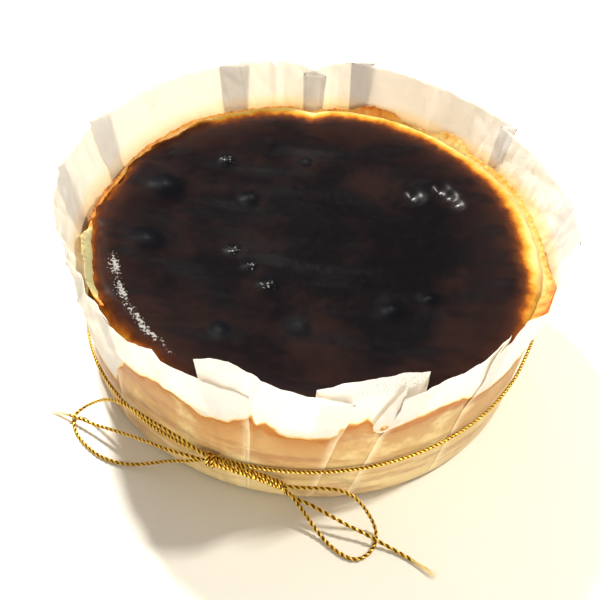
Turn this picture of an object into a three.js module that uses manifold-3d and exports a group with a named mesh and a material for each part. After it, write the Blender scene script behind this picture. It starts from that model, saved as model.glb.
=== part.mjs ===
// A whole basque cheesecake in its baking parchment, tied round with a thin twisted gold string.
// Millimetres, +Z up. The case stands on z = 0 and the middle of its outline is the origin.
// Azimuths are in degrees, anticlockwise from +X seen from above. The bow is at the front, on -Y.

import * as THREE from 'three';
import { mergeVertices } from 'three/addons/utils/BufferGeometryUtils.js';
import Module from 'manifold-3d';

// ---- Cake
const CAKE_RADIUS = 60.4; // where the shoulder starts to turn in
const FOOT_RADIUS = 59.6; // at the top of the rounded bottom corner
const FOOT_SHIFT = -0.8; // the foot stands this far along X from the middle of the top
const CORNER_RADIUS = 2;
const CAKE_BOTTOM = 0.8;
const SHOULDER_RADIUS = 5.5;
const CREST_HEIGHT = 34.5;
const DISH_DEPTH = 2.8; // the middle of the top below the crest
const DISH_RADIUS = 44; // where the inner slope of the rim ends
const CAKE_SEGMENTS = 76;
const CORNER_STEPS = 2;
const SHOULDER_STEPS = 5;
const TOP_RINGS = 11;

// Slow waves of the middle of the top: height, and the run along X or Y for each radian.
const BROAD_WAVE = { height: 0.35, alongX: 9, alongY: 11 };
const SLANT_WAVE = { height: 0.25, along: 6 };

// Swells and dents of the upper side, as [azimuth, half width in degrees, size].
const SIDE_SWELLS = [[130, 9, 1.1], [163, 7, -1.1], [195, 8, -0.9], [25, 10, 0.8], [350, 7, 0.9],
  [94.5, 4.5, -2.6]];

// Blisters and sunken spots of the crust, as [x, y, radius, height].
const CRUST_MARKS = [[-43, 12, 8.5, 1.3], [-44, -6, 7, 0.9], [-20, -10, 6, 0.7], [-19, 11, 5, 0.7],
  [-27, 31, 4, 0.6], [4, -5, 10, -0.7], [26, 23.5, 3.4, -1.2], [36.5, 24, 4.2, -1.5],
  [20, -23, 5, 0.8], [31, -17.5, 4.4, 0.8], [0, 34, 11, 0.6], [-8, -34, 9, -0.5]];

// ---- Parchment case
const PAPER = 0.4; // one thickness, with the crinkle of the real sheet
const PAPER_GAP = 0.5; // free space between the cake and the sheet
const LAYER_STEP = 0.2; // each folded layer of a pleat stands this far outside the last
const TOP_LAYER = 1.5; // layer of a pleat's outer fold
const PLEATS_START = 1; // below this height a pleat is pressed flat
const PLEATS_STAND = 8; // and from here up its layers stand apart
const CLING_HEIGHT = 26; // up to here the sheet clings to the cake
const COLLAR_ROWS = [0.35, 0.7, 1]; // rows of the free collar, as shares of its height
const FLARE_EASE = 1.4; // power of the share by which a collar leans out
const TAB_EASE = 3; // and by which a tab leans in, late, so that it clears the cake
const COLLAR_BELLY = 0.6; // the free collar bows out this much as it passes the shoulder
const FLOOR_RADIUS = 57.6;
const FLOOR_LAP = 1.2; // the side of the sheet reaches in over the floor
const COLUMN_DEGREES = 9;
const RUN_OVERLAP_DEGREES = 0.25;

// The folds of the sheet on its way round, as [azimuth at the rim, azimuth at the foot, rim radius,
// rim height, layer]. Where the azimuth steps back, the sheet is folded back on itself: a pleat.
const FOLDS = [
  [-26, -26, 64.3, 44, 0], [-14, -14, 65.8, 46, 0],
  [12, 0, 67.3, 46, 1.5], [-4, -9, 67, 44.5, 0.5], // wide pleat at the right
  [24, 22, 67, 45.2, 0],
  [41, 36.5, 66.3, 45, 0.5], [36, 34.5, 66.8, 47.4, 1.5], // narrow pleat
  [53, 52, 66.5, 46.2, 0], [60.5, 61, 66.8, 46.8, 0], [62, 63, 65.5, 47.4, 0],
  [85, 81.5, 66.6, 46.4, 0.5], [63.5, 65, 67, 48, 1.5], // wide pleat at the back
  [90.2, 90, 66, 45.6, 1], [97.4, 96.5, 63.8, 42.8, 0.5], [91.2, 92.5, 63.3, 42.4, 1.5],
  [98.4, 98, 66, 45.4, 0], [103.8, 103, 66.6, 46.4, 0], [105, 104.5, 65.2, 45, 0],
  [106.2, 106, 66.6, 46.3, 0],
  [120, 119, 66.3, 46.4, 0.5], [112, 115, 66.4, 45.4, 1.5],
  [130, 130, 66.5, 47, 0], [140, 142, 66.6, 47.4, 0], [141.2, 143, 65.5, 47.2, 0],
  [142.4, 144, 66.7, 47.4, 0], [150, 152, 66.8, 46.6, 0],
  [162, 163, 67, 49, 0.5], [154, 160, 67, 47, 1.5], // pleat at the left
  [170, 172, 67.3, 47.6, 0],
  [184, 187, 67.6, 48, 0.5], [175, 182, 67.4, 48, 1.5],
  [192, 194, 67.2, 47.4, 0], [201, 202, 65.4, 46.2, 0], [211, 212, 63.9, 45.2, 0],
  [226, 225, 64.2, 44, 0.5], [221, 223, 64, 44.3, 1.5],
  [231.5, 231, 64.6, 42.8, 0.5], [237.5, 237, 64, 44.6, 0.6], [239.2, 239, 63.8, 41.4, 0.7],
  [248, 248, 63, 41.6, 1.2], [259, 260.5, 62.8, 42, 1.5], // outer end of the left panel
  [245.5, 257, 58.2, 42.4, 0.5], [248.6, 258, 57.4, 44.2, 0.4], [253.5, 259.5, 58.2, 45.9, 0.3],
  [259, 261.5, 60.2, 46.1, 0], [265.5, 266, 62, 44.6, 0.6], [273, 270, 62.4, 44.2, 1.2],
  [280.5, 275, 62.6, 42.4, 1.5], // outer end of the front panel
  [272.6, 273, 60.4, 44.4, 0.5], [278, 277, 59.2, 45.3, 0.4], [284, 281, 58.2, 45.4, 0.3],
  [291, 284, 58, 45.6, 0.4], [297.5, 287, 58.4, 44, 0.5], // free corner of the front tab
  [290.5, 283, 62.6, 42.4, 1.5],
  [297, 291, 62.6, 44, 0.8], [304, 298, 62.5, 45, 0.6],
  [319, 308, 61.4, 46.2, 0.5], [312, 305, 62.6, 45.6, 1.5],
  [326, 320, 61.6, 45.2, 0.6],
];

// ---- Gold string
const STRING_DIAMETER = 1.1;
const STRING_SIDES = 8;
const BAND_GAP = 0.3; // between the pleats and the string
const BAND_HEIGHT = 13.7; // mean height of the band
const BAND_TILT = 4.5; // it climbs this much above and falls this much below the mean
const BAND_HIGHEST = 352; // azimuth of its highest point
const BAND_STEPS = 48;
const FREE_STEP = 4.8; // length of the free stretches for each step of their tubes
const BUNDLE_RADIUS = 1.3; // four strands twisted together
const BUNDLE_STEPS = 6;
const TIE_RADIUS = 1.7; // middle of the turn that ties the bow
const TIE_STEPS = 12;
const TIE_TURN = -20; // degrees about Z, square to the bundle
const BOW_BUNDLE = [[-20.8, -59.8, 13.2], [-13, -61.9, 13], [-7.2, -62.8, 11.9], [-2.2, -63.2, 9.8]];

// The free stretches, from the knot outwards. They come down to the surface the case stands on.
const LEFT_LOOP = [
  [-21, -59.6, 13.9], [-24.9, -58, 15.1], [-28.9, -56.2, 16.2], [-32.9, -54.2, 16.6],
  [-37, -51.6, 16.2], [-41.3, -48.3, 15], [-45.4, -44.9, 12.9], [-49.4, -42, 9.6],
  [-53.2, -40.2, 5.6], [-56.6, -39.9, 2.1], [-58.4, -41.5, 0.7], [-58, -44.2, 0.6],
  [-56.3, -47.4, 0.6], [-53.2, -50.5, 0.6], [-49.6, -53, 0.6], [-45.4, -54.5, 0.7],
  [-40.8, -55.2, 1.3], [-36.2, -55.6, 3.1], [-31.3, -56.4, 6], [-26.4, -58, 9.2],
  [-22.4, -59.2, 11.9]];
const LEFT_TAIL = [
  [-22, -60, 13], [-27.2, -58.4, 12.4], [-32.4, -56.2, 11], [-37.6, -53, 8.8],
  [-42.7, -49.8, 6.2], [-47.8, -47.2, 4.2], [-52.8, -44.9, 2.7], [-57.8, -42.7, 1.9],
  [-61.4, -41.3, 1.1], [-65.6, -39.7, 0.6]];
const RIGHT_LOOP = [
  [-2.3, -63.6, 10.6], [3.2, -63.8, 11.2], [8.4, -63.6, 11.4], [11.6, -63.6, 11],
  [14.2, -63.8, 9.7], [16.6, -64.4, 7.6], [18.8, -65.3, 4.8], [20.5, -66.6, 2.2],
  [21.2, -68.4, 0.8], [21, -70.4, 0.6], [20.2, -72.4, 0.6], [18.9, -74, 0.6],
  [17, -75.2, 0.6], [15, -75.2, 0.6], [12.9, -74.3, 0.6], [10.7, -72.8, 0.6],
  [8.4, -70.8, 0.9], [6.2, -68.8, 1.9], [4, -66.9, 3.7], [1.8, -65.4, 5.9],
  [-0.4, -64.2, 8], [-2.4, -63.4, 9.6]];
const RIGHT_TAIL = [
  [-1.8, -63.8, 8.6], [1, -64.3, 7], [4.5, -65, 6], [7.8, -66, 5], [11, -67.1, 4.2],
  [14.5, -68.3, 3.4], [17.8, -69.2, 2.6], [20.8, -70.3, 1.9], [23.8, -71.3, 1.2],
  [26.6, -72.4, 0.7], [30.6, -74.5, 0.6], [35.6, -77.7, 0.6]];

// The case's outline reaches further back than forward of the cake's axis.
const AXIS_X = 0.2;
const AXIS_Y = -2;

const wasm = await Module();
wasm.setup();

const radians = THREE.MathUtils.degToRad;
const lerp = THREE.MathUtils.lerp;
const smoothstep = THREE.MathUtils.smoothstep;

// Signed difference of two azimuths, from -180 to 180 degrees.
function turn(from, to) {
  return THREE.MathUtils.euclideanModulo(to - from + 180, 360) - 180;
}

// Distance out of an arc of radius r at a height h above its centre.
function arcReach(r, h) {
  return Math.sqrt(Math.max(r * r - h * h, 0));
}

// Radius of the cake's side at height z, before its swells.
function plainSide(z) {
  const cornerTop = CAKE_BOTTOM + CORNER_RADIUS;
  const shoulder = CREST_HEIGHT - SHOULDER_RADIUS;
  if (z < cornerTop) return FOOT_RADIUS - CORNER_RADIUS + arcReach(CORNER_RADIUS, cornerTop - z);
  if (z > shoulder) return CAKE_RADIUS - SHOULDER_RADIUS + arcReach(SHOULDER_RADIUS, z - shoulder);
  return lerp(FOOT_RADIUS, CAKE_RADIUS, (z - cornerTop) / (shoulder - cornerTop));
}

// How far the side stands out at an azimuth, in full near the top and not at all at the foot.
function swell(azimuth, z) {
  let sum = 0;
  for (const [middle, width, size] of SIDE_SWELLS) {
    sum += size * Math.exp(-((turn(middle, azimuth) / width) ** 2));
  }
  return sum * smoothstep(z, 0, CLING_HEIGHT);
}

// The foot's sideways shift at height z.
function footShift(z) {
  return FOOT_SHIFT * (1 - smoothstep(z, 0, CREST_HEIGHT));
}

// Relief of the crust: the dish inside the rim, its slow waves and the marks of burst bubbles.
function crustRelief(x, y) {
  const r = Math.hypot(x, y);
  const crest = CAKE_RADIUS - SHOULDER_RADIUS;
  const inside = 1 - smoothstep(r, DISH_RADIUS, crest);
  let z = -DISH_DEPTH * inside;
  const broad = Math.sin(x / BROAD_WAVE.alongX + 1) * Math.cos(y / BROAD_WAVE.alongY);
  const slant = Math.sin((x + y) / SLANT_WAVE.along);
  z += inside * (BROAD_WAVE.height * broad + SLANT_WAVE.height * slant);
  for (const [mx, my, radius, height] of CRUST_MARKS) {
    z += height * Math.exp(-(((x - mx) ** 2 + (y - my) ** 2) / (0.5 * radius * radius)));
  }
  return z;
}

// A closed solid from a geometry, with its shared corners merged and empty triangles left out.
function solidFrom(geometry) {
  const plain = geometry.clone();
  plain.deleteAttribute('normal');
  plain.deleteAttribute('uv');
  const merged = mergeVertices(plain, 1e-4);
  const index = merged.index.array;
  const triVerts = [];
  for (let i = 0; i < index.length; i += 3) {
    const [a, b, c] = index.subarray(i, i + 3);
    if (a !== b && b !== c && c !== a) triVerts.push(a, b, c);
  }
  return new wasm.Manifold(new wasm.Mesh({
    numProp: 3,
    vertProperties: new Float32Array(merged.attributes.position.array),
    triVerts: new Uint32Array(triVerts),
  }));
}

// A geometry from a solid.
function geometryFrom(solid) {
  const mesh = solid.getMesh();
  const geometry = new THREE.BufferGeometry();
  geometry.setAttribute('position', new THREE.BufferAttribute(mesh.vertProperties, 3));
  geometry.setIndex(new THREE.BufferAttribute(mesh.triVerts, 1));
  geometry.computeVertexNormals();
  return geometry;
}

// All the solids joined into one.
function joined(solids) {
  return solids.reduce((whole, solid) => whole.add(solid));
}

function finish(color, roughness, metalness) {
  return new THREE.MeshStandardMaterial({ color, roughness, metalness });
}

// ---- The cake: a turned profile, made uneven.
function cakeProfile() {
  const points = [new THREE.Vector2(0, CAKE_BOTTOM)];
  const cornerTop = CAKE_BOTTOM + CORNER_RADIUS;
  const shoulder = CREST_HEIGHT - SHOULDER_RADIUS;
  const heights = [];
  for (let i = 0; i <= CORNER_STEPS; i++) {
    heights.push(cornerTop - CORNER_RADIUS * Math.cos(radians((90 * i) / CORNER_STEPS)));
  }
  heights.push(CLING_HEIGHT / 2, CLING_HEIGHT, shoulder);
  for (let i = 1; i <= SHOULDER_STEPS; i++) {
    heights.push(shoulder + SHOULDER_RADIUS * Math.sin(radians((90 * i) / SHOULDER_STEPS)));
  }
  for (const z of heights) points.push(new THREE.Vector2(plainSide(z), z));
  const crest = CAKE_RADIUS - SHOULDER_RADIUS;
  for (let i = 1; i <= TOP_RINGS; i++) {
    points.push(new THREE.Vector2(crest * (1 - i / TOP_RINGS), CREST_HEIGHT));
  }
  return points;
}

function makeCake() {
  const turned = new THREE.LatheGeometry(cakeProfile(), CAKE_SEGMENTS);
  turned.rotateX(Math.PI / 2);
  const place = turned.attributes.position;
  for (let i = 0; i < place.count; i++) {
    const x = place.getX(i);
    const y = place.getY(i);
    const z = place.getZ(i);
    const r = Math.hypot(x, y);
    const azimuth = THREE.MathUtils.radToDeg(Math.atan2(y, x));
    const reach = r < 1e-6 ? 1 : 1 + swell(azimuth, z) * (r / CAKE_RADIUS) ** 4 / r;
    const top = z > CREST_HEIGHT - 0.01 ? crustRelief(x, y) : 0;
    place.setXYZ(i, x * reach + footShift(z), y * reach, z + top);
  }
  return new THREE.Mesh(geometryFrom(solidFrom(turned)), finish(0x33241f, 0.4, 0));
}

// ---- The case: one slab of sheet between each two folds, over a round floor.

// Middle of the sheet where it clings to the cake, on the same rounded corner.
function clingPoint(azimuth, z, layer) {
  const out = PAPER_GAP + PAPER / 2;
  const cornerTop = CAKE_BOTTOM + CORNER_RADIUS;
  let r = plainSide(z) + out;
  if (z < cornerTop) r = FOOT_RADIUS - CORNER_RADIUS + arcReach(CORNER_RADIUS + out, cornerTop - z);
  r += swell(azimuth, z) + layer * LAYER_STEP * smoothstep(z, PLEATS_START, PLEATS_STAND);
  const a = radians(azimuth);
  return new THREE.Vector3(r * Math.cos(a) + footShift(z), r * Math.sin(a), z);
}

// Points of the sheet from the floor up, a share of the way from one fold to the next.
function sheetColumn(from, to, share) {
  const [rimAzimuth, footAzimuth, rimRadius, rimHeight, layer] = from.map((v, i) => lerp(v, to[i], share));
  const azimuthAt = (z) => lerp(footAzimuth, rimAzimuth, z / rimHeight);
  const ring = radians(footAzimuth);
  const ringRadius = FLOOR_RADIUS - FLOOR_LAP;
  const points = [new THREE.Vector3(
    footShift(0) + ringRadius * Math.cos(ring), ringRadius * Math.sin(ring), PAPER / 2)];
  const corner = CORNER_RADIUS + PAPER_GAP + PAPER / 2;
  const cornerTop = CAKE_BOTTOM + CORNER_RADIUS;
  for (const z of [cornerTop - corner * Math.SQRT1_2, cornerTop, CLING_HEIGHT]) {
    points.push(clingPoint(azimuthAt(z), z, layer));
  }
  const last = points[points.length - 1];
  const startRadius = Math.hypot(last.x, last.y);
  const ease = rimRadius < startRadius ? TAB_EASE : FLARE_EASE;
  for (const part of COLLAR_ROWS) {
    const z = lerp(CLING_HEIGHT, rimHeight, part);
    const a = radians(azimuthAt(z));
    const belly = COLLAR_BELLY * 4 * part * (1 - part);
    const r = lerp(startRadius, rimRadius, part ** ease) + layer * LAYER_STEP * part + belly;
    points.push(new THREE.Vector3(r * Math.cos(a), r * Math.sin(a), z));
  }
  return points;
}

// A thin closed slab about a grid of points.
function slab(grid) {
  const columns = grid.length;
  const rows = grid[0].length;
  const inner = [];
  const outer = [];
  const across = new THREE.Vector3();
  const along = new THREE.Vector3();
  for (let i = 0; i < columns; i++) {
    for (let j = 0; j < rows; j++) {
      across.subVectors(grid[Math.min(i + 1, columns - 1)][j], grid[Math.max(i - 1, 0)][j]);
      along.subVectors(grid[i][Math.min(j + 1, rows - 1)], grid[i][Math.max(j - 1, 0)]);
      const normal = across.cross(along).normalize().multiplyScalar(PAPER / 2);
      const point = grid[i][j];
      outer.push(point.x + normal.x, point.y + normal.y, Math.max(point.z + normal.z, 0));
      inner.push(point.x - normal.x, point.y - normal.y, Math.max(point.z - normal.z, 0));
    }
  }
  const count = columns * rows;
  const index = [];
  const quad = (a, b, c, d) => index.push(a, b, c, a, c, d);
  for (let i = 0; i < columns - 1; i++) {
    for (let j = 0; j < rows - 1; j++) {
      const a = i * rows + j;
      quad(a, a + rows, a + rows + 1, a + 1);
      quad(count + a, count + a + 1, count + a + rows + 1, count + a + rows);
    }
    const low = i * rows;
    const high = low + rows - 1;
    quad(low + rows, low, count + low, count + low + rows);
    quad(high, high + rows, count + high + rows, count + high);
  }
  for (let j = 0; j < rows - 1; j++) {
    const last = (columns - 1) * rows + j;
    quad(j, j + 1, count + j + 1, count + j);
    quad(last + 1, last, count + last, count + last + 1);
  }
  const geometry = new THREE.BufferGeometry();
  geometry.setAttribute('position', new THREE.Float32BufferAttribute([...outer, ...inner], 3));
  geometry.setIndex(index);
  return geometry;
}

// The sheet along a run of folds that all lead the same way round. It reaches a little past both
// ends, so that it fuses with the runs beside it.
function sheetRun(folds) {
  const forward = folds[1][0] > folds[0][0];
  const grid = [];
  for (let k = 0; k < folds.length - 1; k++) {
    const sweep = Math.abs(folds[k + 1][0] - folds[k][0]);
    const columns = Math.ceil(sweep / COLUMN_DEGREES);
    const past = RUN_OVERLAP_DEGREES / sweep;
    const start = k === 0 ? -past : 0;
    const end = k === folds.length - 2 ? 1 + past : 1;
    for (let i = k === 0 ? 0 : 1; i <= columns; i++) {
      grid.push(sheetColumn(folds[k], folds[k + 1], lerp(start, end, i / columns)));
    }
  }
  if (!forward) grid.reverse();
  return solidFrom(slab(grid));
}

function makeCase() {
  const floor = new THREE.CylinderGeometry(FLOOR_RADIUS, FLOOR_RADIUS, PAPER, CAKE_SEGMENTS);
  floor.rotateX(Math.PI / 2);
  floor.translate(FOOT_SHIFT, 0, PAPER / 2);
  const solids = [solidFrom(floor)];
  const folds = [...FOLDS, [FOLDS[0][0] + 360, FOLDS[0][1] + 360, ...FOLDS[0].slice(2)]];
  let run = [folds[0]];
  for (let i = 1; i < folds.length; i++) {
    run.push(folds[i]);
    const after = folds[i + 1];
    const turnsBack = after && (after[0] - folds[i][0]) * (folds[i][0] - run[0][0]) < 0;
    if (!after || turnsBack) {
      solids.push(sheetRun(run));
      run = [folds[i]];
    }
  }
  return new THREE.Mesh(geometryFrom(joined(solids)), finish(0xefe6d4, 0.7, 0));
}

// ---- The string: the band round the case, the knot and its bow.
function stringTube(curve, steps, r = STRING_DIAMETER / 2) {
  const section = new THREE.Shape();
  for (let i = 0; i < STRING_SIDES; i++) {
    const a = (2 * Math.PI * (i + 0.5)) / STRING_SIDES;
    if (i === 0) section.moveTo(r * Math.cos(a), r * Math.sin(a));
    else section.lineTo(r * Math.cos(a), r * Math.sin(a));
  }
  section.closePath();
  return solidFrom(new THREE.ExtrudeGeometry(section, { steps, extrudePath: curve, bevelEnabled: false }));
}

function curveThrough(points, closed = false) {
  return new THREE.CatmullRomCurve3(points.map((p) => new THREE.Vector3(...p)), closed, 'centripetal');
}

function bandPoint(azimuth) {
  const z = BAND_HEIGHT + BAND_TILT * Math.cos(radians(azimuth - BAND_HIGHEST));
  const out = PAPER / 2 + BAND_GAP + STRING_DIAMETER / 2;
  const a = radians(azimuth);
  return clingPoint(azimuth, z, TOP_LAYER).add(new THREE.Vector3(out * Math.cos(a), out * Math.sin(a), 0));
}

function makeString() {
  const around = [];
  for (let i = 0; i < BAND_STEPS; i++) around.push(bandPoint((360 * i) / BAND_STEPS).toArray());
  const solids = [stringTube(curveThrough(around, true), BAND_STEPS)];
  for (const route of [LEFT_LOOP, LEFT_TAIL, RIGHT_LOOP, RIGHT_TAIL]) {
    const curve = curveThrough(route);
    solids.push(stringTube(curve, Math.round(curve.getLength() / FREE_STEP)));
  }
  solids.push(stringTube(curveThrough(BOW_BUNDLE), BUNDLE_STEPS, BUNDLE_RADIUS));
  const tie = new THREE.TorusGeometry(TIE_RADIUS, STRING_DIAMETER / 2, STRING_SIDES, TIE_STEPS);
  tie.rotateY(Math.PI / 2);
  tie.rotateZ(radians(TIE_TURN));
  tie.translate(...BOW_BUNDLE[0]);
  solids.push(solidFrom(tie));
  return new THREE.Mesh(geometryFrom(joined(solids)), finish(0xb98a2c, 0.35, 1));
}

const group = new THREE.Group();
for (const [name, make] of [['cake', makeCake], ['paper_case', makeCase], ['gold_string', makeString]]) {
  const mesh = make();
  mesh.name = name;
  group.add(mesh);
}
group.position.set(AXIS_X, AXIS_Y, 0);

export default group;
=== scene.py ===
import math
import random

import bmesh
import bpy
from mathutils import Matrix, Vector, noise
from mathutils.geometry import interpolate_bezier
from mathutils.kdtree import KDTree


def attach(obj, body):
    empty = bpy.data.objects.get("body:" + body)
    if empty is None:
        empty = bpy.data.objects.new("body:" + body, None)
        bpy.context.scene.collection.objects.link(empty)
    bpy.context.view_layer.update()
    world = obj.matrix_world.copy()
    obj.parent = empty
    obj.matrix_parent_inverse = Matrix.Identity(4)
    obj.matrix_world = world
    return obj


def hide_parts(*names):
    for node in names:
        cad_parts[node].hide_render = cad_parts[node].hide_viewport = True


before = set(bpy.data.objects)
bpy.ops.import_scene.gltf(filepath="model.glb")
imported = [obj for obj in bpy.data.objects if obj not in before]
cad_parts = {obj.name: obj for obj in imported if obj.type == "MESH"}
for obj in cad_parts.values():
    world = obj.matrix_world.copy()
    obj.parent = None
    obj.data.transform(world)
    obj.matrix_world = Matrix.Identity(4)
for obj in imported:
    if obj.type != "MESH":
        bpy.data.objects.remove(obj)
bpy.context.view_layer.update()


# ---- Camera
# It looks down on the cake from the front at about 45 degrees, on a medium lens, with the picture
# turned a few degrees.
CAMERA_PLACE = Vector((-0.00256, -0.20115, 0.21229))
CAMERA_AIM = Vector((-0.00256, -0.01022, 0.018))
CAMERA_ROLL = math.radians(5.6)

camera_data = bpy.data.cameras.new("camera")
camera_data.lens = 60
camera_data.sensor_width = 36
camera_data.clip_start = 0.01
camera = bpy.data.objects.new("camera", camera_data)
bpy.context.scene.collection.objects.link(camera)
ahead = (CAMERA_AIM - CAMERA_PLACE).normalized()
level = ahead.cross(Vector((0, 0, 1))).normalized()
upright = level.cross(ahead)
across = level * math.cos(CAMERA_ROLL) + upright * math.sin(CAMERA_ROLL)
upward = upright * math.cos(CAMERA_ROLL) - level * math.sin(CAMERA_ROLL)
facing = Matrix((across, upward, -ahead)).transposed().to_4x4()
camera.matrix_world = Matrix.Translation(CAMERA_PLACE) @ facing
bpy.context.scene.camera = camera


# ---- Loops and loose ends of the bow
# Gift cord of about 1 mm, two plies of metallic yarn twisted together. The stretches leave the
# knot, come down to the table and lie on it. Both ends are cut with scissors and have frayed.
AXIS = Vector((0.0002, -0.002, 0))  # the cake's axis, from which routes are measured
STRING = 0.00102  # over both plies
PLY = 0.00055
STRING_STEP = 0.00022  # between the points of a line
FRAY_LENGTH = 0.0062
FRAY_FIBRES = 16
FIBRE_POINTS = 6
FIBRE = 0.2  # a fibre's thickness as a share of a ply's
FIBRE_TIP = 0.5  # and its tip's as a share of that
FRAY_WIDTH = 0.0003  # half the brush's width at its root
FRAY_SPREAD = 0.0006  # and how much more it is at the end
FRAY_HEIGHT = 0.00035
LEFT_LOOP = [
    (-0.021, -0.0596, 0.0139), (-0.0249, -0.058, 0.0151), (-0.0289, -0.0562, 0.0162),
    (-0.0329, -0.0542, 0.0166), (-0.037, -0.0516, 0.0162), (-0.0413, -0.0483, 0.015),
    (-0.0454, -0.0449, 0.0129), (-0.0494, -0.042, 0.0096), (-0.0532, -0.0402, 0.0056),
    (-0.0566, -0.0399, 0.0021), (-0.0584, -0.0415, 0.0007), (-0.058, -0.0442, 0.0006),
    (-0.0563, -0.0474, 0.0006), (-0.0532, -0.0505, 0.0006), (-0.0496, -0.053, 0.0006),
    (-0.0454, -0.0545, 0.0007), (-0.0408, -0.0552, 0.0013), (-0.0362, -0.0556, 0.0031),
    (-0.0313, -0.0564, 0.006), (-0.0264, -0.058, 0.0092), (-0.0224, -0.0592, 0.0119)]
LEFT_TAIL = [
    (-0.022, -0.06, 0.013), (-0.0272, -0.0584, 0.0124), (-0.0324, -0.0562, 0.011),
    (-0.0376, -0.053, 0.0088), (-0.0427, -0.0498, 0.0062), (-0.0478, -0.0472, 0.0042),
    (-0.0528, -0.0449, 0.0027), (-0.0578, -0.0427, 0.0019), (-0.0614, -0.0413, 0.0011),
    (-0.0656, -0.0397, 0.0006)]
RIGHT_LOOP = [
    (-0.0023, -0.0636, 0.0106), (0.0032, -0.0638, 0.0112), (0.0084, -0.0636, 0.0114),
    (0.0116, -0.0636, 0.011), (0.0142, -0.0638, 0.0097), (0.0166, -0.0644, 0.0076),
    (0.0188, -0.0653, 0.0048), (0.0205, -0.0666, 0.0022), (0.0212, -0.0684, 0.0008),
    (0.021, -0.0704, 0.0006), (0.0202, -0.0724, 0.0006), (0.0189, -0.074, 0.0006),
    (0.017, -0.0752, 0.0006), (0.015, -0.0752, 0.0006), (0.0129, -0.0743, 0.0006),
    (0.0107, -0.0728, 0.0006), (0.0084, -0.0708, 0.0009), (0.0062, -0.0688, 0.0019),
    (0.004, -0.0669, 0.0037), (0.0018, -0.0654, 0.0059), (-0.0004, -0.0642, 0.008),
    (-0.0024, -0.0634, 0.0096)]
RIGHT_TAIL = [
    (-0.0018, -0.0638, 0.0086), (0.001, -0.0643, 0.007), (0.0045, -0.065, 0.006),
    (0.0078, -0.066, 0.005), (0.011, -0.0671, 0.0042), (0.0145, -0.0683, 0.0034),
    (0.0178, -0.0692, 0.0026), (0.0208, -0.0703, 0.0019), (0.0238, -0.0713, 0.0012),
    (0.0266, -0.0724, 0.0007), (0.0306, -0.0745, 0.0006), (0.0356, -0.0777, 0.0006)]


def smooth_share(value, low, high):
    """0 below low and 1 above high, with a smooth change between."""
    share = min(max((value - low) / (high - low), 0), 1)
    return share * share * (3 - 2 * share)


def route_line(route):
    """Close points on a smooth line through the points of a route."""
    before = [route[0], *route[:-1]]
    after = [*route[1:], route[-1]]
    ways = [(b - a).normalized() for a, b in zip(before, after)]
    line = []
    for here, there, leaving, coming in zip(route, route[1:], ways, ways[1:]):
        reach = (there - here).length
        count = max(3, round(reach / STRING_STEP))
        line += interpolate_bezier(here, here + leaving * reach / 3, there - coming * reach / 3, there,
                                   count)[:-1]
    return line + [route[-1]]


def frames_along(line):
    """The way at each point of a line and a side square to it, which turns as little as it can."""
    side = Vector((0, 0, 1)).cross(line[1] - line[0]).normalized()
    frames = []
    for i in range(len(line)):
        way = (line[min(i + 1, len(line) - 1)] - line[max(i - 1, 0)]).normalized()
        side = (side - way * side.dot(way)).normalized()
        frames.append((way, side))
    return frames


def wound(line, radius, pitch, start):
    """The line of a strand that winds round another line."""
    strand = []
    gone = 0
    for i, (point, (way, side)) in enumerate(zip(line, frames_along(line))):
        gone += (point - line[max(i - 1, 0)]).length
        turn = start + 2 * math.pi * gone / pitch
        strand.append(point + (side * math.cos(turn) + way.cross(side) * math.sin(turn)) * radius)
    return strand


def add_strand(curve, line, thickness, end_thickness=1):
    """One more spline of a curve, which tapers over its whole length to a share of its thickness."""
    spline = curve.splines.new("POLY")
    spline.points.add(len(line) - 1)
    for i, (point, co) in enumerate(zip(spline.points, line)):
        point.co = (*co, 1)
        point.radius = thickness * (1 + (end_thickness - 1) * i / (len(line) - 1))


def frayed(curve, line, draw):
    """The untwisted end of a line: loose fibres that spread like a small brush."""
    frames = frames_along(line)
    last = len(line) - 1
    for number in range(FRAY_FIBRES):
        aside = draw.uniform(-1, 1)
        above = draw.uniform(-1, 1)
        reach = 1 if number < FRAY_FIBRES / 3 else draw.uniform(0.75, 1)
        fibre = []
        for i in range(FIBRE_POINTS):
            share = reach * i / (FIBRE_POINTS - 1)
            at = round(last * share)
            side = frames[at][1]
            open_out = FRAY_WIDTH + FRAY_SPREAD * share * share
            fibre.append(line[at] + side * aside * open_out + Vector((0, 0, above * FRAY_HEIGHT)))
        add_strand(curve, fibre, FIBRE, FIBRE_TIP)


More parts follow.
